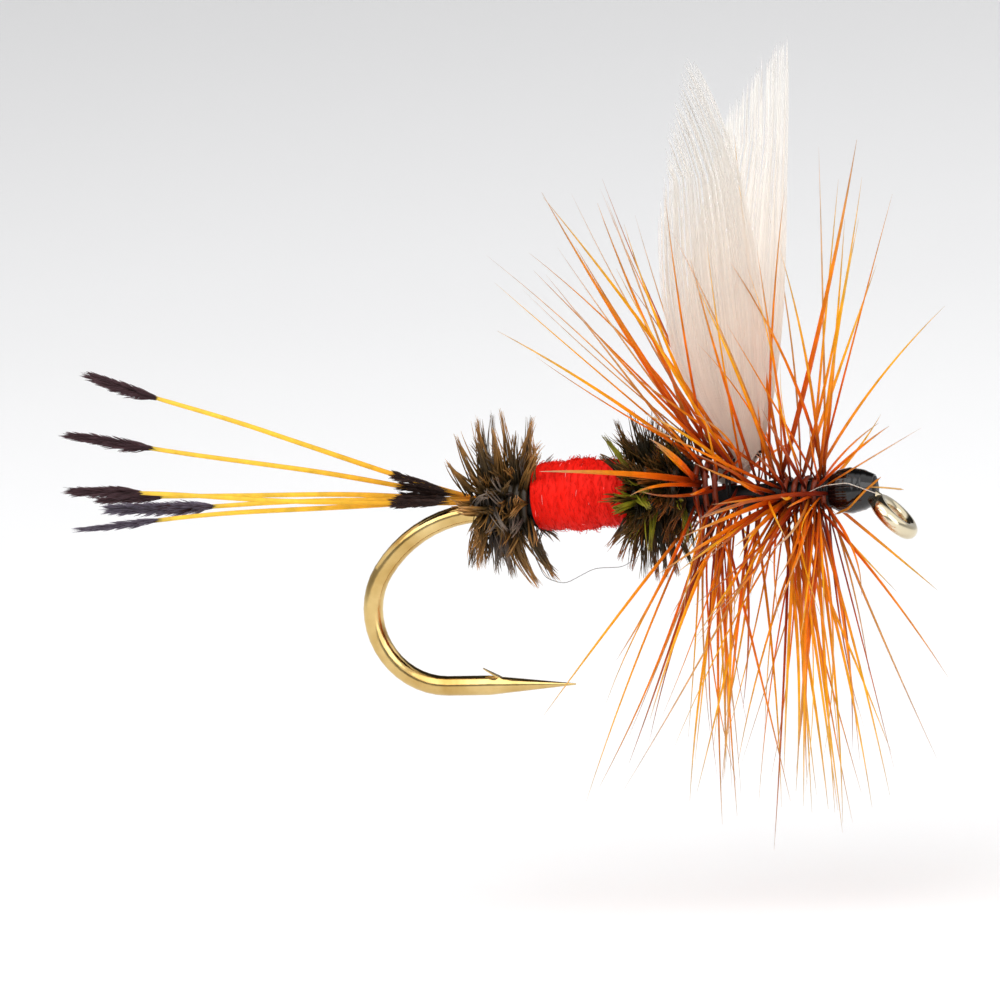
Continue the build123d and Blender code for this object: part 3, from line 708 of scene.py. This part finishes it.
# Barbs that stand clear of the rest: station of the root, tip from the root, width, colour
upper_barbs = [
    (-5.1, (-4.4, -3.6, 4.6), 0.15, gold), (-4.9, (-5.8, 3.0, 5.3), 0.09, pale),
    (-5.3, (-2.5, -4.0, 6.0), 0.1, pale), (-5.0, (-4.1, 1.5, 6.4), 0.11, pale),
    (-5.0, (-3.3, -2.0, 8.1), 0.18, orange), (-4.2, (-3.7, -3.6, 8.0), 0.18, gold),
    (-5.4, (-2.9, 3.0, 7.9), 0.1, pale), (-5.2, (-1.7, -1.0, 7.7), 0.12, pale),
    (-4.7, (-1.5, -3.8, 7.8), 0.17, orange), (-4.9, (-2.5, 3.5, 7.1), 0.1, pale),
    (-4.9, (0.6, -4.2, 7.8), 0.13, orange), (-4.4, (-1.6, 4.0, 7.1), 0.1, pale),
    (-3.1, (-0.7, -4.6, 6.1), 0.14, gold), (-2.9, (-0.1, -1.5, 9.5), 0.17, gold),
    (-3.3, (1.4, -1.0, 7.9), 0.14, orange), (-2.5, (-1.2, 3.0, 7.8), 0.1, pale),
    (-3.0, (3.0, -1.0, 9.1), 0.27, orange), (-2.4, (2.8, -2.5, 8.2), 0.16, gold),
    (-1.9, (2.4, -3.0, 7.2), 0.18, gold), (-1.8, (0.1, 2.0, 8.9), 0.11, pale),
    (-1.8, (1.6, -2.0, 7.1), 0.17, gold), (-2.0, (3.4, -6.0, 2.1), 0.12, orange),
    (-1.8, (3.9, -5.0, 2.0), 0.06, pale), (-4.6, (-3.9, 4.5, 8.1), 0.1, mahogany),
    (-5.2, (0.6, -7.0, 2.0), 0.2, orange), (-5.0, (-3.2, -5.0, 1.1), 0.18, orange),
    (-4.8, (-2.5, -2.6, 6.6), 0.17, orange), (-4.5, (-0.9, -4.2, 7.2), 0.16, gold),
    (-2.2, (1.1, 1.5, 8.0), 0.13, gold), (-2.7, (0.4, -3.2, 6.6), 0.14, orange),
    (-3.9, (-1.8, -4.4, 6.5), 0.14, gold), (-3.6, (-0.1, -4.4, 6.5), 0.15, orange),
    (-4.0, (-3.2, -3.4, 5.4), 0.15, orange), (-3.9, (-1.0, -4.8, 4.6), 0.15, mahogany),
]
lower_barbs = [
    (-5.3, (-4.0, -3.0, -5.4), 0.15, gold), (-5.4, (-3.5, -1.0, -8.1), 0.12, gold),
    (-4.9, (-3.7, 2.0, -7.0), 0.11, pale), (-4.8, (-2.6, 0.5, -6.8), 0.12, mahogany),
    (-5.3, (-1.3, -5.0, -3.7), 0.15, orange), (-4.4, (-1.6, -4.0, -5.5), 0.18, gold),
    (-4.4, (-1.4, -1.5, -8.1), 0.17, gold), (-5.2, (-0.3, 2.0, -8.7), 0.1, pale),
    (-4.5, (-0.1, -3.0, -7.3), 0.17, gold), (-4.8, (-0.6, 1.0, -8.3), 0.12, pale),
    (-4.7, (1.7, -2.0, -8.1), 0.15, orange), (-2.0, (-3.5, 2.5, -7.5), 0.11, pale),
    (-3.1, (0.8, -1.0, -8.2), 0.21, gold), (-3.0, (0.3, -3.0, -7.3), 0.2, gold),
    (-2.7, (-0.4, 1.5, -8.3), 0.15, gold), (-2.1, (0.3, -2.0, -8.1), 0.17, gold),
    (-3.0, (1.0, 2.0, -8.4), 0.12, orange), (-2.4, (1.4, -1.5, -8.1), 0.17, gold),
    (-2.1, (2.0, -3.0, -7.5), 0.16, gold), (-1.8, (-0.4, 3.5, -6.4), 0.12, mahogany),
    (-1.8, (-0.4, 4.5, -5.6), 0.1, pale), (-2.0, (3.9, -4.0, -4.3), 0.15, orange),
    (-2.3, (-0.2, -2.5, -7.8), 0.18, gold), (-1.9, (-0.6, -1.5, -7.4), 0.18, orange),
    (-2.2, (0.1, -0.5, -8.7), 0.16, gold), (-2.6, (-0.1, -3.4, -6.7), 0.19, gold),
    (-2.5, (0.6, 0.5, -8.9), 0.12, orange), (-2.7, (1.0, -2.2, -8.0), 0.18, gold),
    (-2.2, (0.0, -4.2, -6.5), 0.18, orange), (-4.9, (-2.3, -2.6, -6.8), 0.14, mahogany),
    (-3.9, (-0.6, -3.2, -7.0), 0.16, orange), (-3.8, (0.2, -1.0, -8.1), 0.14, gold),
    (-3.6, (-1.8, -2.6, -7.3), 0.15, gold), (-4.1, (0.4, -3.8, -5.3), 0.15, mahogany),
]


def make_barb(pile, root, reach, bow, width, tone):
    """One hackle barb: a tapered, slightly flattened and gently curved fibre."""
    share = np.linspace(0, 1, barb_steps)
    path = root + reach * share[:, None] + bow * ((share * (1.15 - share)) * 2.4)[:, None]
    body = np.interp(share, [0, 0.08, 0.3, 0.7, 0.92, 1.0], [0.75, 1.0, 1.0, 0.6, 0.24, 0.06])
    across = unit(np.cross(reach, X) + 0.2 * X)
    pile.strand(path, width * body, width * body * 0.5, across, shade_along(tone, share), 6)


def make_hackle(name, quill_node, barb_node, rear_limit, front_limit, chosen, fans):
    """Barbs of one hackle: the chosen ones, and fans of seeded ones round them.

    A fan is a count, the ranges of its angles from the top and of its leans forward in degrees,
    its lengths, its colours and the odds of each colour.
    """
    rear, front, axis_z, outer = winding(quill_node)
    pile = Pile()
    for station, reach, width, tone in chosen:
        if rear_limit <= station < front_limit:
            reach = np.array(reach)
            outward = unit(reach * np.array([0, 1, 1]))
            root = np.array([station, 0, axis_z]) + outward * (outer - sunk)
            bow = (X * rng.uniform(-0.3, 0.35) + np.cross(unit(reach), X) * rng.uniform(-0.3, 0.3))
            make_barb(pile, root, reach - outward * (outer - 0.3), bow, width, tone)
    for count, angles, leans, lengths, tones, odds in fans:
        for number in range(count):
            share = (number + rng.random()) / count
            angle = radians(rng.uniform(*angles))
            lean = radians(leans[0] + (leans[1] - leans[0]) * share + rng.normal(0, 8))
            outward = np.array([0, sin(angle), cos(angle)])
            sideways = np.cross(X, outward)
            heading = unit(outward * cos(lean) + X * sin(lean) + sideways * rng.normal(0, 0.08))
            width = rng.uniform(0.08, 0.16)
            bow = X * rng.normal(0.05, 0.25) + sideways * rng.normal(0, 0.2)
            tone = tones[rng.choice(len(tones), p=odds)]
            if rng.random() < 0.5:
                x = rng.uniform(rear_limit, front_limit)
            else:
                x = rear + 0.05 + (front - rear - 0.1) * share
            root = around(axis_z, angle, outer - sunk if rear < x < front else shank_root_r, x)
            make_barb(pile, root, heading * rng.uniform(*lengths), bow, width, tone)
    return pile.piece(name, hackle_look, [barb_node])


def make_hackle_quill(node):
    rear, front, axis_z, outer = winding(node)
    half = hackle_quill_w / 2
    turns = (front - rear - hackle_quill_w) / hackle_pitch
    pile = Pile()
    line = helix(rear + half, front - half, axis_z, outer - half, turns)
    pile.strand(line, hackle_quill_w, hackle_quill_w * 0.8, X, linear((120, 44, 14)), 8)
    return pile.piece(f"{node}_wound", quill_look, [node])


# ---- Head ----
def make_head():
    rear, front, axis_z, outer = winding("head_thread")

    def thread_r(x):
        share = (x - rear) / (front - rear)
        swell = np.interp(share, [0, 0.2, 0.45, 0.75, 1.0], [0.7, 0.92, 1.0, 0.86, 0.6])
        return swell * (outer - 0.02)

    run_back, cement_build = 0.5, 0.045
    pile = Pile()
    ridged_barrel(pile, rear - run_back, front, axis_z, thread_r, 0.015, 0.075, (16, 13, 12), 200, 64)
    pile.piece("head_windings", thread_look, ["head_thread"])
    pile = Pile()
    ridged_barrel(pile, rear + 0.02, front - 0.02, axis_z, lambda x: thread_r(x) + cement_build,
                  0.004, 0.15, (7, 6, 6), 120, 96)
    return pile.piece("head_varnish", cement_look, ["head_cement"])


# ---- Loose fibres ----
def make_loose(name, points, width, colour, look):
    """Fine fibre through given points."""
    pile = Pile()
    path = smooth_path(np.array(points), 40)
    taper = np.clip(np.minimum(np.linspace(0, 12, 40), np.linspace(12, 0, 40)), 0.25, 1)
    pile.strand(path, width * taper, width * taper * 0.7, np.array([0, 1.0, 0.3]), linear(colour), 6)
    return pile.piece(name, look)


wing_look = wing_material()
cement_look = cement_material()

make_camera()
make_world()
make_floor()
make_light("key", (-130, -200, 300), (-9, 0, 1), 480, 0.8)
make_light("fill", (150, -170, 90), (-9, 0, 1), 220, 0.2)

nodes["hook"].data.materials.clear()
nodes["hook"].data.materials.append(hook_material())
for inner in ("thread_base", "tail_binding_thread", "body_underwrap", "wing_binding_thread"):
    nodes[inner].data.materials.clear()
    nodes[inner].data.materials.append(thread_look)

for number in range(1, 7):
    make_tail_fibre(number)
# The last of the odds is the share of tufts that get the painted glint tone.
make_herl("rear_flue", ["rear_herl_strand_1", "rear_herl_strand_2"], "rear_herl_flue",
          rear_herl_tones_and_glint, [0.42, 0.43, 0.15], 120, 1.0, (-14, 14), 0.07, rear_tufts)
make_herl("front_flue", ["front_herl_strand_1", "front_herl_strand_2"], "front_herl_flue",
          front_herl_tones_and_glint, [0.58, 0.28, 0.14], 150, 1.05, (-22, 0), 0.1, front_tufts)
make_floss()
make_wing("left_wing", 1, "left_wing_slip", 0.0, 0.15, 2.6, 0.3)
make_wing("right_wing", -1, "right_wing_slip", 0.35, 0.45, 3.0, 1.3)
make_hackle_quill("rear_hackle_quill")
make_hackle_quill("front_hackle_quill")
all_tones = [orange, gold, mahogany, pale]
clear_barbs = upper_barbs + lower_barbs
make_hackle("rear_barbs", "rear_hackle_quill", "rear_hackle_barbs", -5.5, -4.0, clear_barbs, [
    (15, (-130, -55), (-18, 20), (3.0, 6.0), all_tones, [0.42, 0.2, 0.33, 0.05]),
    (12, (50, 125), (-35, 0), (6.0, 8.5), all_tones, [0.3, 0.3, 0.2, 0.2]),
    (8, (-30, 45), (-42, -20), (6.0, 8.8), all_tones, [0.4, 0.2, 0.1, 0.3]),
    (15, (145, 220), (-22, 4), (6.5, 9.2), all_tones, [0.22, 0.5, 0.08, 0.2])])
make_hackle("front_barbs", "front_hackle_quill", "front_hackle_barbs", -4.0, -1.5, clear_barbs, [
    (30, (-135, -50), (-24, 14), (3.0, 6.0), all_tones, [0.42, 0.25, 0.3, 0.03]),
    (9, (-48, -8), (-26, 6), (5.0, 8.2), all_tones, [0.4, 0.5, 0.05, 0.05]),
    (12, (50, 130), (-20, 8), (6.0, 8.6), all_tones, [0.3, 0.3, 0.2, 0.2]),
    (4, (-25, 40), (-6, 10), (6.0, 8.8), all_tones, [0.35, 0.25, 0.05, 0.35]),
    (22, (142, 222), (-16, 6), (6.5, 9.4), all_tones, [0.2, 0.6, 0.05, 0.15]),
    (16, (-130, -60), (-24, 20), (3.5, 6.5), all_tones, [0.5, 0.2, 0.3, 0.0])])
make_head()
make_loose("grey_filament", [(-10.0, -0.8, -0.1), (-9.65, -0.8, -1.05), (-9.1, -0.8, -1.25),
                             (-8.2, -0.8, -0.85), (-7.4, -0.8, -0.87), (-6.8, -0.8, -0.5)],
           0.024, (120, 112, 108), filament_look)
make_loose("white_filament", [(-2.3, -0.72, 0.8), (-1.7, -0.74, 1.02), (-1.05, -0.72, 1.06),
                              (-0.17, -0.6, 0.66)],
           0.03, (236, 226, 212), filament_look)
make_loose("head_fibre", [(-1.5, -0.5, 0.2), (-1.07, -0.66, 0.36), (-0.6, -0.62, 0.8), (-0.18, -0.4, 1.12)],
           0.09, (222, 150, 40), hackle_look)
make_loose("head_stub", [(-0.55, -0.4, 0.88), (-0.1, -0.45, 0.84), (0.42, -0.45, 0.76)],
           0.06, (226, 190, 120), hackle_look)
bpy.context.scene.view_settings.view_transform = "Standard"
